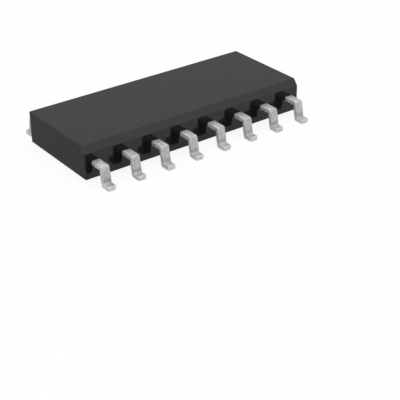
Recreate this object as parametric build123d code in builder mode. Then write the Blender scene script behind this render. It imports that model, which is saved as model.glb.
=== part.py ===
import os
from math import radians, tan

from build123d import *

# A sixteen-lead narrow small-outline integrated circuit, standing on its feet.
# The origin is on the board under the middle of the body, +X runs along the rows
# of leads, and -Y is the side of leads 1 to 8, where the body is chamfered.
# All sizes are in millimetres.

# Moulded body
body_width = 3.90
body_standoff = 0.12  # from the board up to the body's underside
body_end_cover = 0.455  # from the last lead's middle out to the body's end
body_edge_radius = 0.04
moulding_under_paddle = 0.365
moulding_over_loops = 0.265
chamfer_across = 0.20  # measured in from the body's side
chamfer_down = 0.25

# Leads, all stamped from one copper strip and bent
leads_per_row = 8
lead_pitch = 1.27
strip_thickness = 0.18
lead_width = 0.35
shoulder_length = 0.54  # from the body's side out to the middle of the first bend
leg_lean = 10  # degrees off vertical
foot_length = 0.373  # from the middle of the second bend out to the toe
bend_inner_radius = 0.03
stamped_edge_radius = 0.02

# Inner ends of the leads
anchor_depth = 0.15  # from the body's side in to the land that locks the lead
anchor_length = 0.25
anchor_width = 0.55
finger_width = 0.26
finger_straight = 0.20  # from the land in to the turn of a finger next to last in its row
corner_finger_straight = 0.40  # the same for the last finger in a row
finger_gap = 0.16  # between the tips of those two
tip_straight = 0.25  # last stretch of a turned finger, square to the paddle
tip_gap = 0.20  # from the paddle's edge to every tip

# Die paddle and its tie bars
paddle_side_setback = 0.95  # from the body's side in to the paddle's edge
paddle_end_reach = 0.195  # past the middle of the last straight finger
paddle_downset = 0.15
tie_bar_width = 0.24
tie_bar_gap = 0.13  # between a tie bar and the nearest finger
tie_bar_flat = 0.15  # level stretch beside the paddle
tie_bar_slope_run = 0.30
tie_bar_cover = 0.15  # moulding over the cut end of a tie bar

# Die and the adhesive under it
paddle_side_rim = 0.25  # bare paddle beside the die
paddle_end_rim = 0.90
die_thickness = 0.28
bond_line = 0.02
bond_overhang = 0.06  # adhesive showing round the die

# Bond wires
wire_diameter = 0.03
ball_diameter = 0.08
ball_height = 0.02
pad_inset = 0.10  # from the die's edge in to the middle of a pad
end_pad_offset = 0.30  # from the die's long centre line to the pads at its ends
loop_height = 0.16  # from the die up to the wire's highest point
crown_share = 0.35  # part of the way across that a wire stays near its highest point
crown_drop = 0.02
neck_radius = 0.04
crown_radius = 0.50
stitch_setback = 0.12  # from a finger's tip back to the middle of its stitch
stitch_length = 0.12
stitch_width = 0.07
stitch_height = 0.012

# Levels, from the board up
body_underside = body_standoff
paddle_bottom = body_underside + moulding_under_paddle
paddle_level = paddle_bottom + strip_thickness / 2
paddle_top = paddle_bottom + strip_thickness
die_bottom = paddle_top + bond_line
die_top = die_bottom + die_thickness
loop_top = die_top + loop_height
body_top = loop_top + moulding_over_loops
lead_level = paddle_level + paddle_downset
finger_bottom = lead_level - strip_thickness / 2
finger_top = lead_level + strip_thickness / 2
foot_level = strip_thickness / 2

# Lengths and distances from the middle, out to one side or one end
body_length = (leads_per_row - 1) * lead_pitch + 2 * body_end_cover
body_side = body_width / 2
anchor_outside = body_side - anchor_depth
anchor_inside = anchor_outside - anchor_length
bend_radius = bend_inner_radius + strip_thickness / 2
shoulder_corner = body_side + shoulder_length
heel_corner = shoulder_corner + (lead_level - foot_level) * tan(radians(leg_lean))
toe = heel_corner + foot_length

# Two fingers at each end of a row turn in to the paddle's end, the others are straight.
turned_fingers = 2
straight_fingers = leads_per_row - 2 * turned_fingers
paddle_length = (straight_fingers - 1) * lead_pitch + 2 * paddle_end_reach
paddle_width = body_width - 2 * paddle_side_setback
side_tip_line = paddle_width / 2 + tip_gap
end_tip_line = paddle_length / 2 + tip_gap
corner_tip = tie_bar_width / 2 + tie_bar_gap + finger_width / 2
next_tip = corner_tip + finger_width + finger_gap
die_length = paddle_length - 2 * paddle_end_rim
die_width = paddle_width - 2 * paddle_side_rim
end_pad_line = die_length / 2 - pad_inset
side_pad_line = die_width / 2 - pad_inset
side_pads = leads_per_row - 2
side_pad_pitch = 2 * end_pad_line / (side_pads - 1)

# Each row has its own frame, in which its leads leave the body towards -Y.
near_row = Plane.XY
far_row = Plane(origin=(0, 0, 0), x_dir=(-1, 0, 0), z_dir=(0, 0, 1))


def pitches_from_middle(place):
    """How far along its row a lead stands, in pitches, negative towards lead 1's end."""
    return place - (leads_per_row + 1) / 2


def places_from_end(place):
    """How many leads stand between this one and the nearer end of its row."""
    return min(place - 1, leads_per_row - place)


def finger_route(place):
    """Middle line of a lead's inner finger, in its row's frame, from the land to the tip."""
    x = pitches_from_middle(place) * lead_pitch
    start = Vector(x, -anchor_outside)
    if places_from_end(place) >= turned_fingers:
        return [start, Vector(x, -side_tip_line)]
    is_corner = places_from_end(place) == 0
    straight = corner_finger_straight if is_corner else finger_straight
    tip_y = -corner_tip if is_corner else -next_tip
    side = 1 if x > 0 else -1
    return [
        start,
        Vector(x, -anchor_inside + straight),
        Vector(side * (end_tip_line + tip_straight), tip_y),
        Vector(side * end_tip_line, tip_y),
    ]


def pad_place(place):
    """Middle of a lead's pad on the die, in its row's frame."""
    if places_from_end(place) > 0:
        return Vector(pitches_from_middle(place) * side_pad_pitch, -side_pad_line)
    side = 1 if pitches_from_middle(place) > 0 else -1
    return Vector(side * end_pad_line, -end_pad_offset)


def make_lead(row, place):
    """One lead: a bent strip outside the body, and a land and a finger inside it."""
    route = finger_route(place)
    x = route[0].X
    strip_plane = Plane(row.from_local_coords((x, 0, 0)), x_dir=-row.y_dir, z_dir=-row.x_dir)
    with BuildPart() as lead:
        with BuildSketch(strip_plane):
            with BuildLine():
                FilletPolyline(
                    (anchor_outside, lead_level),
                    (shoulder_corner, lead_level),
                    (heel_corner, foot_level),
                    (toe, foot_level),
                    radius=bend_radius,
                )
            trace(line_width=strip_thickness)
        extrude(amount=lead_width / 2, both=True)
        inner_end = lead.faces().filter_by(Axis.Y).sort_by(Axis((0, 0, 0), row.y_dir))[-1]
        stamped_edges = lead.edges() - lead.edges().filter_by(Axis.X) - inner_end.edges()
        fillet(stamped_edges, radius=stamped_edge_radius)
        with BuildSketch(row.offset(finger_bottom)):
            with BuildLine():
                Polyline(*route)
            trace(line_width=finger_width)
            with Locations((x, -anchor_inside)):
                Rectangle(anchor_width, anchor_length, align=(Align.CENTER, Align.MAX))
        extrude(amount=strip_thickness)
    return lead.part


def make_bond_wire(row, place):
    """One wire, from its ball on the die over a low loop to its stitch on a finger."""
    route = finger_route(place)
    pad = pad_place(place)
    stitch = route[-1] + (route[-2] - route[-1]).normalized() * stitch_setback
    run = (stitch - pad).length
    start = row.from_local_coords(pad)
    end = row.from_local_coords(stitch)
    along = (end - start).normalized()
    up = Vector(0, 0, 1)
    crown_end = crown_share * run
    crown_level = loop_top - crown_drop
    fall = (crown_level - finger_top) / (run - crown_end)
    with BuildPart() as wire:
        with BuildLine(Plane(start, x_dir=along, z_dir=along.cross(up))):
            FilletPolyline(
                (0, die_top),
                (0, loop_top),
                (crown_end, crown_level),
                (run + wire_diameter, finger_top - fall * wire_diameter),
                radius=[neck_radius, crown_radius],
            )
        with BuildSketch(Plane(start + up * die_top)):
            Circle(wire_diameter / 2)
        sweep()
        split(bisect_by=Plane.XY.offset(finger_top), keep=Keep.TOP)
        with BuildSketch(Plane(start + up * die_top)):
            Circle(ball_diameter / 2)
        extrude(amount=ball_height)
        with BuildSketch(Plane(end + up * finger_top, x_dir=along, z_dir=up)):
            Ellipse(stitch_length / 2, stitch_width / 2)
        extrude(amount=stitch_height)
    return wire.part


# Die paddle, pressed down from the level of the leads, with a tie bar at each end
with BuildPart() as die_paddle:
    with BuildSketch(Plane.XY.offset(paddle_bottom)):
        Rectangle(paddle_length, paddle_width)
    extrude(amount=strip_thickness)
    for side in (-1, 1):
        slope_start = paddle_length / 2 + tie_bar_flat
        with BuildSketch(Plane.XZ):
            with BuildLine():
                Polyline(
                    (0, paddle_level),
                    (side * slope_start, paddle_level),
                    (side * (slope_start + tie_bar_slope_run), lead_level),
                    (side * (body_length / 2 - tie_bar_cover), lead_level),
                )
            trace(line_width=strip_thickness)
        extrude(amount=tie_bar_width / 2, both=True)
die_paddle.part.label = "die_paddle"

# Adhesive that holds the die on the paddle
with BuildPart() as die_attach:
    with BuildSketch(Plane.XY.offset(paddle_top)):
        Rectangle(die_length + 2 * bond_overhang, die_width + 2 * bond_overhang)
    extrude(amount=bond_line)
die_attach.part.label = "die_attach"

# Silicon die
with BuildPart() as die:
    with BuildSketch(Plane.XY.offset(die_bottom)):
        Rectangle(die_length, die_width)
    extrude(amount=die_thickness)
die.part.label = "die"

# Leads and bond wires, numbered along the near row and back along the far one
inner_pieces = [die_paddle.part, die_attach.part, die.part]
for row, first_number in ((near_row, 1), (far_row, leads_per_row + 1)):
    for place in range(1, leads_per_row + 1):
        number = first_number + place - 1
        lead = make_lead(row, place)
        lead.label = f"lead_{number}"
        bond_wire = make_bond_wire(row, place)
        bond_wire.label = f"bond_wire_{number}"
        inner_pieces += [lead, bond_wire]

# Moulded body, which fills the space between all the pieces in it
with BuildPart() as body:
    with BuildSketch(Plane.YZ):
        with BuildLine():
            Polyline(
                (-body_side, body_underside),
                (body_side, body_underside),
                (body_side, body_top),
                (-body_side + chamfer_across, body_top),
                (-body_side, body_top - chamfer_down),
                close=True,
            )
        make_face()
    extrude(amount=body_length / 2, both=True)
    fillet(body.edges(), radius=body_edge_radius)
    add(inner_pieces, mode=Mode.SUBTRACT)
body.part.label = "body"

os.makedirs("parts", exist_ok=True)
for piece in [body.part] + inner_pieces:
    export_step(piece, f"parts/{piece.label}.step")
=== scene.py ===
from math import cos, pi, radians, sin, tan

import bmesh
import bpy
from mathutils import Matrix, Vector


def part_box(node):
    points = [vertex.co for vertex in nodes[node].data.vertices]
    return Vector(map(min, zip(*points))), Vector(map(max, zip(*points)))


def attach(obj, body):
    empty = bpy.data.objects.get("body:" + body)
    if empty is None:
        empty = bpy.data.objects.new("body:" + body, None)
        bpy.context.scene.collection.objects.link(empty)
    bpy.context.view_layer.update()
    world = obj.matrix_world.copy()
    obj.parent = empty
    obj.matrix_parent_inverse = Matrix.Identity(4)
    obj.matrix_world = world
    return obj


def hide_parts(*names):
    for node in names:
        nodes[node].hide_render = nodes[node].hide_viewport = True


# Sixteen-lead small-outline chip, standing on its feet on a pale floor.
# +X runs along the rows of leads, and -Y is the side of leads 1 to 8.

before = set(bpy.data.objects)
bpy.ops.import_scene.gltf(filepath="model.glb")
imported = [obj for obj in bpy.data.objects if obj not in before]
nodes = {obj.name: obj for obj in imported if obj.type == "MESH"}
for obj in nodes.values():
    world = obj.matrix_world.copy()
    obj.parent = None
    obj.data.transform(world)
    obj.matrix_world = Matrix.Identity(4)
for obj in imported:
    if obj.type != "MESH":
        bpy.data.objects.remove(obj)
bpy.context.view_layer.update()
mm = 0.001
up = Vector((0, 0, 1))
slack = 0.001 * mm  # points nearer than this count as one place
leadsPerRow = 8
turnedLeads = 2  # at each end of a row: their fingers turn in to the paddle's end
firstStraight = turnedLeads + 1
print("frame loaded:", len(nodes), "nodes")


# Edit-mode helpers

def deselectAll():
    if bpy.context.object and bpy.context.object.mode != "OBJECT":
        bpy.ops.object.mode_set(mode="OBJECT")
    bpy.ops.object.select_all(action="DESELECT")


def pickVerts(piece, wanted):  # selects the vertices that wanted() says yes to, in edit mode
    bm = bmesh.from_edit_mesh(piece.data)
    bpy.ops.mesh.select_mode(type="VERT")
    for vert in bm.verts:
        vert.select = bool(wanted(vert.co))
    bm.select_flush(True)
    bm.select_flush(False)
    bmesh.update_edit_mesh(piece.data)


def extrudeBy(step):
    bpy.ops.mesh.extrude_region_move(TRANSFORM_OT_translate={"value": step})


meshFinish = {
    "mergeBelow": 0.00005 * mm,
    "smoothUpTo": radians(35),
}


def finishPiece(piece, slot, material, *replaced):  # normals, shading, finish and what it stands for
    bpy.ops.object.mode_set(mode="EDIT")
    bpy.ops.mesh.select_all(action="SELECT")
    bpy.ops.mesh.remove_doubles(threshold=meshFinish["mergeBelow"])
    bpy.ops.mesh.normals_make_consistent(inside=False)
    bpy.ops.object.mode_set(mode="OBJECT")
    bpy.ops.object.shade_smooth_by_angle(angle=meshFinish["smoothUpTo"])
    piece.data.materials.clear()
    piece.data.materials.append(material)
    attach(piece, "root")
    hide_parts(*replaced)


# Shader helpers

def newMaterial(name):
    material = bpy.data.materials.new(name)
    material.use_nodes = True
    return material


def addNode(tree, kind, **settings):
    node = tree.nodes.new(kind)
    for name, value in settings.items():
        if name in node.inputs:
            node.inputs[name].default_value = value
        else:
            setattr(node, name, value)
    return node


def math(tree, operation, first, second=0.0, clamp=False):
    node = tree.nodes.new("ShaderNodeMath")
    node.operation = operation
    node.use_clamp = clamp
    for socket, value in zip(node.inputs, (first, second)):
        if isinstance(value, bpy.types.NodeSocket):
            tree.links.new(value, socket)
        else:
            socket.default_value = value
    return node.outputs[0]


def blendColour(tree, share, first, second):
    node = tree.nodes.new("ShaderNodeMix")
    node.data_type = "RGBA"
    for socket, value in ((node.inputs[0], share), (node.inputs[6], first), (node.inputs[7], second)):
        if isinstance(value, bpy.types.NodeSocket):
            tree.links.new(value, socket)
        else:
            socket.default_value = value
    return node.outputs[2]


def newGroup(name, inputs, outputs):
    group = bpy.data.node_groups.new(name, "ShaderNodeTree")
    for label, kind, value in inputs:
        socket = group.interface.new_socket(name=label, in_out="INPUT", socket_type=kind)
        if value is not None:
            socket.default_value = value
    for label, kind in outputs:
        group.interface.new_socket(name=label, in_out="OUTPUT", socket_type=kind)
    return group, group.nodes.new("NodeGroupInput"), group.nodes.new("NodeGroupOutput")


def placeGroup(tree, group, values, place):
    node = tree.nodes.new("ShaderNodeGroup")
    node.node_tree = group
    for name, value in values.items():
        node.inputs[name].default_value = value
    tree.links.new(place, node.inputs["Place"])
    return node


def spreadRoughness(group, given, tone):  # from Smooth where the tone is 0 to Rough where it is 1
    spread = math(group, "SUBTRACT", given.outputs["Rough"], given.outputs["Smooth"])
    return math(group, "ADD", given.outputs["Smooth"], math(group, "MULTIPLY", spread, tone))


# Grain of a moulded or cured surface: fine pits with filler specks between them
grainMix = {
    "pits": 0.65, "cloud": 0.35,  # shares of the tone
    "cloudScale": 900.0,
    "speckSize": 0.14, "speckShare": 0.25,
}


def makeCastGrain(mix):
    group, given, result = newGroup(
        "castGrain",
        [("Place", "NodeSocketVector", None), ("Dark", "NodeSocketColor", (0.05, 0.05, 0.05, 1)),
         ("Light", "NodeSocketColor", (0.08, 0.08, 0.08, 1)), ("Grain", "NodeSocketFloat", 20000.0),
         ("Smooth", "NodeSocketFloat", 0.6), ("Rough", "NodeSocketFloat", 0.9)],
        [("Colour", "NodeSocketColor"), ("Roughness", "NodeSocketFloat"), ("Height", "NodeSocketFloat")],
    )
    fine = addNode(group, "ShaderNodeTexNoise", Detail=3.0, Roughness=0.6)
    cloud = addNode(group, "ShaderNodeTexNoise", Scale=mix["cloudScale"], Detail=2.0)
    specks = addNode(group, "ShaderNodeTexVoronoi")
    for texture in (fine, cloud, specks):
        group.links.new(given.outputs["Place"], texture.inputs["Vector"])
    group.links.new(given.outputs["Grain"], fine.inputs["Scale"])
    group.links.new(given.outputs["Grain"], specks.inputs["Scale"])
    pits = math(group, "MULTIPLY", fine.outputs["Fac"], mix["pits"])
    tone = math(group, "ADD", pits, math(group, "MULTIPLY", cloud.outputs["Fac"], mix["cloud"]))
    colour = blendColour(group, tone, given.outputs["Dark"], given.outputs["Light"])
    isSpeck = math(group, "LESS_THAN", specks.outputs["Distance"], mix["speckSize"])
    speckMask = math(group, "MULTIPLY", isSpeck, mix["speckShare"])
    group.links.new(blendColour(group, speckMask, colour, given.outputs["Light"]), result.inputs["Colour"])
    group.links.new(spreadRoughness(group, given, fine.outputs["Fac"]), result.inputs["Roughness"])
    group.links.new(tone, result.inputs["Height"])
    return group


# Skin of a plated or rolled metal: mottled crystals crossed by faint drawn lines
skinMix = {
    "crystals": 0.55, "patches": 0.2, "lines": 0.25,  # shares of the tone
    "contrast": 4.0,
    "patchScale": 3500.0,
    "lineScale": 0.3,  # of the crystals' scale
    "lineStretch": (9.0, 0.6, 0.6),  # the lines run along the strip, across X
    "crystalHeight": 0.5, "lineHeight": 0.5,
}


def makeMetalSkin(mix):
    group, given, result = newGroup(
        "metalSkin",
        [("Place", "NodeSocketVector", None), ("Dull", "NodeSocketColor", (0.5, 0.5, 0.5, 1)),
         ("Bright", "NodeSocketColor", (0.7, 0.7, 0.7, 1)), ("Grain", "NodeSocketFloat", 15000.0),
         ("Smooth", "NodeSocketFloat", 0.3), ("Rough", "NodeSocketFloat", 0.5)],
        [("Colour", "NodeSocketColor"), ("Roughness", "NodeSocketFloat"), ("Height", "NodeSocketFloat")],
    )
    crystals = addNode(group, "ShaderNodeTexNoise", Detail=4.0, Roughness=0.65)
    patches = addNode(group, "ShaderNodeTexNoise", Scale=mix["patchScale"], Detail=2.0)
    stretch = addNode(group, "ShaderNodeMapping", Scale=mix["lineStretch"])
    lines = addNode(group, "ShaderNodeTexNoise", Detail=2.0)
    group.links.new(given.outputs["Place"], stretch.inputs["Vector"])
    group.links.new(stretch.outputs["Vector"], lines.inputs["Vector"])
    for texture in (crystals, patches):
        group.links.new(given.outputs["Place"], texture.inputs["Vector"])
    group.links.new(given.outputs["Grain"], crystals.inputs["Scale"])
    lineScale = math(group, "MULTIPLY", given.outputs["Grain"], mix["lineScale"])
    group.links.new(lineScale, lines.inputs["Scale"])
    mixed = math(group, "MULTIPLY", crystals.outputs["Fac"], mix["crystals"])
    mixed = math(group, "ADD", mixed, math(group, "MULTIPLY", patches.outputs["Fac"], mix["patches"]))
    mixed = math(group, "ADD", mixed, math(group, "MULTIPLY", lines.outputs["Fac"], mix["lines"]))
    steep = math(group, "MULTIPLY", math(group, "SUBTRACT", mixed, 0.5), mix["contrast"])
    tone = math(group, "ADD", steep, 0.5, clamp=True)
    colour = blendColour(group, tone, given.outputs["Dull"], given.outputs["Bright"])
    group.links.new(colour, result.inputs["Colour"])
    group.links.new(spreadRoughness(group, given, tone), result.inputs["Roughness"])
    height = math(group, "ADD", math(group, "MULTIPLY", crystals.outputs["Fac"], mix["crystalHeight"]),
                  math(group, "MULTIPLY", lines.outputs["Fac"], mix["lineHeight"]))
    group.links.new(height, result.inputs["Height"])
    return group


castGrain = makeCastGrain(grainMix)
metalSkin = makeMetalSkin(skinMix)


def surfaceMaterial(name, look, group):  # one effect group feeding the material's own shader
    material = newMaterial(name)
    tree = material.node_tree
    shader = tree.nodes["Principled BSDF"]
    shader.inputs["Metallic"].default_value = look["metallic"]
    shader.inputs["Specular IOR Level"].default_value = look["specular"]
    place = addNode(tree, "ShaderNodeTexCoord").outputs["Object"]
    effect = placeGroup(tree, group, look["group"], place)
    bump = addNode(tree, "ShaderNodeBump", Strength=look["bump"], Distance=look["depth"])
    tree.links.new(effect.outputs["Height"], bump.inputs["Height"])
    tree.links.new(bump.outputs["Normal"], shader.inputs["Normal"])
    tree.links.new(effect.outputs["Colour"], shader.inputs["Base Color"])
    tree.links.new(effect.outputs["Roughness"], shader.inputs["Roughness"])
    return material


mouldingLook = {
    "metallic": 0.0, "specular": 0.38, "bump": 0.03, "depth": 0.0005 * mm,
    "group": {"Dark": (0.003, 0.003, 0.003, 1), "Light": (0.005, 0.005, 0.005, 1),
              "Grain": 16000.0, "Smooth": 0.56, "Rough": 0.68},
    "polishedFrom": 1.945 * mm,  # out from the middle: the two long walls, which mirror the leads
    "polish": 0.55,
    "coarseFrom": 4.895 * mm,  # out from the middle: the two end faces
    "coarse": 0.09,
    # the chamfer's colour is lifted as a painted reflection of the bright light in front
    "chamferSheen": {"outFrom": -1.755 * mm, "upFrom": 1.135 * mm,
                "colour": (0.028, 0.028, 0.028, 1), "share": 0.8},
}
tinLook = {
    "metallic": 0.25, "specular": 0.5, "bump": 0.6, "depth": 0.002 * mm,
    "group": {"Dull": (0.34, 0.34, 0.34, 1), "Bright": (0.66, 0.66, 0.655, 1),
              "Grain": 13000.0, "Smooth": 0.30, "Rough": 0.55},
    # toe: a painted highlight, the lead ends are painted lighter
    "toe": {"from": 2.94 * mm, "colour": (0.8, 0.8, 0.8, 1), "share": 0.4},
    # heel: painted shade, a darker band painted on the leg just above each heel
    "heel": {"level": 0.29 * mm, "reach": 0.10 * mm, "colour": (0.2, 0.2, 0.2, 1), "share": 0.45},
    "bare": {"upTo": 1.94 * mm, "colour": (0.72, 0.37, 0.23, 1), "share": 0.85},
    "mirroredShade": {"colour": (0.0, 0.0, 0.0, 1), "share": 0.55,  # painted shade on the leads where the moulding's polish mirrors them
                 "outward": 0.3},  # faces turned out further than this keep their brightness
}
copperLook = {
    "metallic": 1.0, "specular": 0.5, "bump": 0.2, "depth": 0.001 * mm,
    "group": {"Dull": (0.62, 0.29, 0.17, 1), "Bright": (0.82, 0.46, 0.31, 1),
              "Grain": 12000.0, "Smooth": 0.25, "Rough": 0.4},
}
adhesiveLook = {
    "metallic": 0.35, "specular": 0.5, "bump": 0.4, "depth": 0.004 * mm,
    "group": {"Dark": (0.28, 0.27, 0.25, 1), "Light": (0.52, 0.51, 0.48, 1),
              "Grain": 25000.0, "Smooth": 0.45, "Rough": 0.7},
}
goldLook = {
    "metallic": 1.0, "specular": 0.5, "bump": 0.1, "depth": 0.0005 * mm,
    "group": {"Dull": (0.78, 0.52, 0.16, 1), "Bright": (0.94, 0.72, 0.32, 1),
              "Grain": 40000.0, "Smooth": 0.15, "Rough": 0.28},
}
siliconLook = {
    "metallic": 0.2, "specular": 0.6, "bump": 0.05, "depth": 0.0005 * mm,
    "group": {"Dull": (0.07, 0.08, 0.11, 1), "Bright": (0.17, 0.18, 0.22, 1),
              "Grain": 9000.0, "Smooth": 0.12, "Rough": 0.25},
}


def placeParts(tree):  # X, Y and Z of the shaded point
    parts = addNode(tree, "ShaderNodeSeparateXYZ")
    tree.links.new(addNode(tree, "ShaderNodeTexCoord").outputs["Object"], parts.inputs[0])
    return parts.outputs


def tint(material, mask, look):  # blends the base colour towards another one under a mask
    tree = material.node_tree
    into = tree.nodes["Principled BSDF"].inputs["Base Color"]
    given = into.links[0].from_socket
    share = math(tree, "MULTIPLY", mask, look["share"])
    tree.links.new(blendColour(tree, share, given, look["colour"]), into)


def finishWalls(material, look):  # the long walls leave the mould smooth, the end faces coarse
    tree = material.node_tree
    place = placeParts(tree)
    onWall = math(tree, "GREATER_THAN", math(tree, "ABSOLUTE", place["Y"]), look["polishedFrom"])
    onEnd = math(tree, "GREATER_THAN", math(tree, "ABSOLUTE", place["X"]), look["coarseFrom"])
    into = tree.nodes["Principled BSDF"].inputs["Roughness"]
    given = into.links[0].from_socket
    smoother = math(tree, "SUBTRACT", given, math(tree, "MULTIPLY", onWall, look["polish"]))
    tree.links.new(math(tree, "ADD", smoother, math(tree, "MULTIPLY", onEnd, look["coarse"])), into)


def paintChamferSheen(material, look):  # painted reflection: the chamfer's colour is lifted paler, standing in for the bright light it mirrors
    tree = material.node_tree
    place = placeParts(tree)
    isOut = math(tree, "LESS_THAN", place["Y"], look["chamferSheen"]["outFrom"])
    isUp = math(tree, "GREATER_THAN", place["Z"], look["chamferSheen"]["upFrom"])
    # painted reflection: the chamfer is tinted paler under this mask
    tint(material, math(tree, "MULTIPLY", isOut, isUp), look["chamferSheen"])


def paintLeadHighlightShadeAndCopper(material, look):  # a painted highlight on the toe, painted shade in a band above the heel, bare copper inside
    tree = material.node_tree
    place = placeParts(tree)
    outward = math(tree, "ABSOLUTE", place["Y"])
    # painted highlight: the lead ends are painted lighter
    paintedToeHighlight = math(tree, "GREATER_THAN", outward, look["toe"]["from"])
    tint(material, paintedToeHighlight, look["toe"])
    # painted shade: the leg is painted darker in a band above the heel crease
    away = math(tree, "ABSOLUTE", math(tree, "SUBTRACT", place["Z"], look["heel"]["level"]))
    paintedHeelShade = math(tree, "SUBTRACT", 1.0, math(tree, "DIVIDE", away, look["heel"]["reach"]), clamp=True)
    tint(material, paintedHeelShade, look["heel"])
    isBare = math(tree, "LESS_THAN", outward, look["bare"]["upTo"])
    tint(material, isBare, look["bare"])
    extra = math(tree, "MULTIPLY", isBare, 1 - look["metallic"])
    metallic = math(tree, "ADD", look["metallic"], extra)
    tree.links.new(metallic, tree.nodes["Principled BSDF"].inputs["Metallic"])


def paintMirroredShade(material, look):  # painted shade: the leads' inward faces turn dark in glossy rays, so their reflections in the moulding show as dark patches
    tree = material.node_tree
    rays = addNode(tree, "ShaderNodeLightPath")
    place, facing = placeParts(tree), addNode(tree, "ShaderNodeSeparateXYZ")
    tree.links.new(addNode(tree, "ShaderNodeNewGeometry").outputs["Normal"], facing.inputs[0])
    outward = math(tree, "MULTIPLY", facing.outputs["Y"], math(tree, "SIGN", place["Y"]))
    turnedIn = math(tree, "LESS_THAN", outward, look["mirroredShade"]["outward"])
    # painted shade: only glossy rays see the darkened inward faces
    mask = math(tree, "MULTIPLY", rays.outputs["Is Glossy Ray"], turnedIn)
    tint(material, mask, look["mirroredShade"])


moulding = surfaceMaterial("moulding", mouldingLook, castGrain)
finishWalls(moulding, mouldingLook)
paintChamferSheen(moulding, mouldingLook)
tin = surfaceMaterial("tin", tinLook, metalSkin)
paintLeadHighlightShadeAndCopper(tin, tinLook)
paintMirroredShade(tin, tinLook)
copper = surfaceMaterial("copper", copperLook, metalSkin)
adhesive = surfaceMaterial("adhesive", adhesiveLook, castGrain)
gold = surfaceMaterial("gold", goldLook, metalSkin)
silicon = surfaceMaterial("silicon", siliconLook, metalSkin)


def dressNode(name, material):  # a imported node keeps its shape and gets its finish
    nodes[name].data.materials.clear()
    nodes[name].data.materials.append(material)


dressNode("body", moulding)
dressNode("die_paddle", copper)
dressNode("die_attach", adhesive)
dressNode("die", silicon)
for number in range(1, 2 * leadsPerRow + 1):
    dressNode(f"bond_wire_{number}", gold)
    dressNode(f"lead_{number}", tin)
print("materials made")


# Leads: a flat sheet is folded twice, thickened, rounded, and drawn on inside as land and finger
leadStrip = {
    "width": 0.35 * mm,
    "thickness": 0.18 * mm,
    "shoulder": 0.54 * mm,  # from the body's side out to the first fold
    "lean": radians(10),
    "outerBend": 0.11 * mm,
    "innerBend": 0.03 * mm,
    "heelBend": 0.08 * mm,  # the hollow above the foot
    "bendSteps": 7,
    "toeCorner": 0.09 * mm,
    "edgeRadius": 0.045 * mm,  # the stamped and plated edges' rounding
    "edgeSteps": 4,
    "sharpFrom": radians(60),  # edges as sharp as this are rounded
}
leadFinger = {
    "landWidth": 0.55 * mm,  # locks the lead in the moulding
    "landLength": 0.25 * mm,
    "landDepth": 0.15 * mm,
    "width": 0.26 * mm,
    "turn": 0.12 * mm,
    "turnSteps": 6,
    "tipStraight": 0.25 * mm,
    "cornerStraight": 0.40 * mm,
    "nextStraight": 0.20 * mm,
}


def foldSheet(name, x, line, strip):  # line: the strip's middle line, from the land out to the toe
    deselectAll()
    wide = strip["width"]
    bpy.ops.mesh.primitive_plane_add(size=wide, location=(x, line[0].y - wide / 2, line[0].z))
    piece = bpy.context.object
    piece.name = name
    bpy.ops.object.transform_apply(location=True, rotation=True, scale=True)
    bpy.ops.object.mode_set(mode="EDIT")
    pickVerts(piece, lambda co: co.y < line[0].y - wide / 2)
    bpy.ops.transform.translate(value=(0, line[1].y - line[0].y + wide, 0))
    for here, goal in zip(line[1:], line[2:]):
        extrudeBy(goal - here)
    bpy.ops.object.mode_set(mode="OBJECT")
    wall = piece.modifiers.new("thickness", "SOLIDIFY")
    wall.thickness = strip["thickness"]
    wall.offset = 0
    wall.use_even_offset = True
    bpy.ops.object.modifier_apply(modifier=wall.name)
    return piece


def roundStrip(piece, line, strip):  # folds first, then the toe's corners, then all the long edges
    bpy.ops.object.mode_set(mode="EDIT")
    hollows = (strip["innerBend"], strip["heelBend"])
    for before, corner, after, hollow in zip(line, line[1:], line[2:], hollows):
        ahead, onward = (corner - before).normalized(), (after - corner).normalized()
        half = ahead.angle(onward) / 2
        inward = (onward - ahead).normalized() * strip["thickness"] / 2 / cos(half)
        for edge, radius in ((corner + inward, hollow), (corner - inward, strip["outerBend"])):
            pickVerts(piece, lambda co: (co.yz - edge.yz).length < slack)
            bpy.ops.mesh.bevel(offset=radius * tan(half), segments=strip["bendSteps"], affect="EDGES")
    toe = line[-1].y
    for side in (-1, 1):
        pickVerts(piece, lambda co: abs(co.y - toe) < slack and (co.x - line[0].x) * side > 0)
        bpy.ops.mesh.bevel(offset=strip["toeCorner"], segments=strip["bendSteps"], affect="EDGES")
    bpy.ops.mesh.select_all(action="DESELECT")
    bpy.ops.mesh.select_mode(type="EDGE")
    bpy.ops.mesh.edges_select_sharp(sharpness=strip["sharpFrom"])
    bm = bmesh.from_edit_mesh(piece.data)
    for edge in bm.edges:
        if all(abs(vert.co.y - line[0].y) < slack for vert in edge.verts):
            edge.select = False
    bmesh.update_edit_mesh(piece.data)
    bpy.ops.mesh.bevel(offset=strip["edgeRadius"], segments=strip["edgeSteps"], affect="EDGES")
    bpy.ops.object.mode_set(mode="OBJECT")


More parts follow.
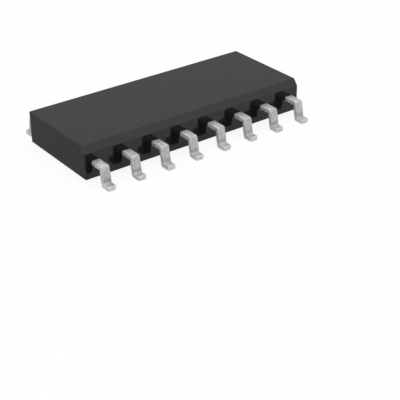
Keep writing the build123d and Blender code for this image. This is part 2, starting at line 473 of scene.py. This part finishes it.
def drawFinger(piece, route, strip, finger):  # route: from the land's outer side in to the tip
    bpy.ops.object.mode_set(mode="EDIT")
    pickVerts(piece, lambda co: abs(co.y - route[0].y) < slack)
    extrudeBy((0, 0, 0))
    bpy.ops.transform.resize(value=(finger["landWidth"] / strip["width"], 1, 1), center_override=route[0])
    extrudeBy(up.cross(Vector((1, 0, 0))) * finger["landLength"])
    here = route[0] + Vector((0, finger["landLength"], 0))
    extrudeBy((0, 0, 0))
    bpy.ops.transform.resize(value=(finger["width"] / finger["landWidth"], 1, 1), center_override=here)
    for before, corner, after in zip([here] + route[1:], route[1:], route[2:]):
        ahead, onward = (corner - before).normalized(), (after - corner).normalized()
        reach = finger["turn"] * tan(ahead.angle(onward) / 2)
        start = corner - ahead * reach
        extrudeBy(start - here)
        axis = ahead.cross(onward).normalized()
        centre = start + axis.cross(ahead) * finger["turn"]
        bpy.ops.mesh.spin(steps=finger["turnSteps"], angle=-ahead.angle(onward), center=centre, axis=axis)
        here = corner + onward * reach
    extrudeBy(route[-1] - here)
    bpy.ops.object.mode_set(mode="OBJECT")


def leadLines(number):  # middle lines outside and inside the moulding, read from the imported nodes
    strip, finger = leadStrip, leadFinger
    low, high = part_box(f"lead_{number}")
    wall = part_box("body")[0].y
    level = high.z - strip["thickness"] / 2
    foot = strip["thickness"] / 2
    half = 1 if number > leadsPerRow / 2 else -1
    isStraight = firstStraight <= number <= leadsPerRow - turnedLeads
    landSide = finger["landWidth"] / 2
    x = (low.x + high.x) / 2 if isStraight else (high.x - landSide if half > 0 else low.x + landSide)
    landOut = wall + finger["landDepth"]
    shoulder = wall - strip["shoulder"]
    heel = shoulder - (level - foot) * tan(strip["lean"])
    outside = [Vector((x, landOut, level)), Vector((x, shoulder, level)), Vector((x, heel, foot)),
               Vector((x, low.y, foot))]
    if isStraight:
        return outside, [outside[0], Vector((x, high.y, level))]
    straight = finger["cornerStraight"] if number in (1, leadsPerRow) else finger["nextStraight"]
    tip = Vector((high.x if half < 0 else low.x, high.y - finger["width"] / 2, level))
    return outside, [
        outside[0],
        Vector((x, landOut + finger["landLength"] + straight, level)),
        tip + Vector((half * finger["tipStraight"], 0, 0)),
        tip,
    ]


def copyPiece(piece, name, place):  # a copy with its own mesh, moved and turned in the mesh
    copy = piece.copy()
    copy.data = piece.data.copy()
    copy.name = name
    copy.data.transform(place)
    bpy.context.scene.collection.objects.link(copy)
    return copy


def makeLeads():
    drawn = {}
    for number in range(1, leadsPerRow + 1):
        name = f"platedLead{number}"
        outside, inside = leadLines(number)
        if firstStraight < number <= leadsPerRow - turnedLeads:  # the straight ones are all alike
            along = outside[0] - leadLines(firstStraight)[0][0]
            drawn[number] = copyPiece(drawn[firstStraight], name, Matrix.Translation(along))
        else:
            drawn[number] = foldSheet(name, outside[0].x, outside, leadStrip)
            roundStrip(drawn[number], outside, leadStrip)
            drawFinger(drawn[number], inside, leadStrip, leadFinger)
    turnRound = Matrix.Rotation(pi, 4, "Z")
    for number in range(1, leadsPerRow + 1):
        farNumber = number + leadsPerRow
        drawn[farNumber] = copyPiece(drawn[number], f"platedLead{farNumber}", turnRound)
    for number, piece in drawn.items():
        deselectAll()
        piece.select_set(True)
        bpy.context.view_layer.objects.active = piece
        finishPiece(piece, "tin_plate", tin, f"lead_{number}")
    return drawn


plated = makeLeads()
print("leads drawn:", len(plated))


# Floor and background
stageLook = {
    "size": 0.6,
    "colour": (0.95, 0.95, 0.95, 1),
    "whiteForCamera": 0.9,  # what is left shows the chip's soft shadow
    "whiteForGloss": 0.6,
    "ambient": 0.48,
}


def makeFloor(look):
    deselectAll()
    bpy.ops.mesh.primitive_plane_add(size=look["size"])
    floor = bpy.context.object
    floor.name = "floor"
    material = newMaterial("floorWhite")
    tree = material.node_tree
    tree.nodes.remove(tree.nodes["Principled BSDF"])
    matte = addNode(tree, "ShaderNodeBsdfDiffuse", Color=look["colour"])
    glow = addNode(tree, "ShaderNodeEmission", Color=(1, 1, 1, 1), Strength=1.0)
    rays = addNode(tree, "ShaderNodeLightPath")
    gloss = math(tree, "MAXIMUM", rays.outputs["Is Glossy Ray"], rays.outputs["Is Transmission Ray"])
    share = math(tree, "MAXIMUM",
                 math(tree, "MULTIPLY", rays.outputs["Is Camera Ray"], look["whiteForCamera"]),
                 math(tree, "MULTIPLY", gloss, look["whiteForGloss"]))
    mix = addNode(tree, "ShaderNodeMixShader")
    tree.links.new(share, mix.inputs[0])
    tree.links.new(matte.outputs[0], mix.inputs[1])
    tree.links.new(glow.outputs[0], mix.inputs[2])
    tree.links.new(mix.outputs[0], tree.nodes["Material Output"].inputs["Surface"])
    floor.data.materials.append(material)


def makeBackground(look):
    world = bpy.data.worlds.new("studio")
    world.use_nodes = True
    bpy.context.scene.world = world
    tree = world.node_tree
    background = tree.nodes["Background"]
    rays = addNode(tree, "ShaderNodeLightPath")
    seen = math(tree, "MAXIMUM", rays.outputs["Is Camera Ray"],
                math(tree, "MAXIMUM", rays.outputs["Is Glossy Ray"], rays.outputs["Is Transmission Ray"]))
    tree.links.new(math(tree, "MAXIMUM", seen, look["ambient"]), background.inputs["Strength"])
    background.inputs["Color"].default_value = (1, 1, 1, 1)


makeFloor(stageLook)
makeBackground(stageLook)


# One wide soft lamp: the direction that it shines from, its level on a surface that faces it,
# and how wide it looks from the chip
lamps = {
    "softbox": {"from": (-0.18, 0.06, 0.98), "level": 0.55, "width": radians(85)},
}


def makeLamp(name, lamp):
    light = bpy.data.lights.new(name, "SUN")
    light.angle = lamp["width"]
    light.energy = lamp["level"] * pi
    holder = bpy.data.objects.new(name, light)
    bpy.context.scene.collection.objects.link(holder)
    holder.rotation_euler = Vector(lamp["from"]).to_track_quat("Z", "Y").to_euler()


for name, lamp in lamps.items():
    makeLamp(name, lamp)
print("stage and lamps set")


# Camera: turned round the middle of the chip's foot, then slid to the photograph's framing
cameraView = {
    "azimuth": radians(-36.303),
    "elevation": radians(29.430),
    "roll": radians(-0.728),
    "distance": 41.971 * mm,
    "slide": (1.206 * mm, -2.817 * mm),  # to its right, and down
    "lens": 97.334,
    "sensor": 36.0,
    "clip": (1 * mm, 10.0),
}


def makeCamera(view):
    az, el, roll = view["azimuth"], view["elevation"], view["roll"]
    back = Vector((sin(az) * cos(el), -cos(az) * cos(el), sin(el)))
    right = Vector((cos(az), sin(az), 0))
    over = back.cross(right)
    camera = bpy.data.cameras.new("camera")
    camera.lens = view["lens"]
    camera.sensor_width = view["sensor"]
    camera.clip_start, camera.clip_end = view["clip"]
    holder = bpy.data.objects.new("camera", camera)
    bpy.context.scene.collection.objects.link(holder)
    place = back * view["distance"] + right * view["slide"][0] + over * view["slide"][1]
    rolledRight = right * cos(roll) + over * sin(roll)
    rolledOver = over * cos(roll) - right * sin(roll)
    turn = Matrix((rolledRight, rolledOver, back)).transposed().to_4x4()
    holder.matrix_world = Matrix.Translation(place) @ turn
    bpy.context.scene.camera = holder


makeCamera(cameraView)
bpy.context.scene.view_settings.view_transform = "Standard"

print("camera set")
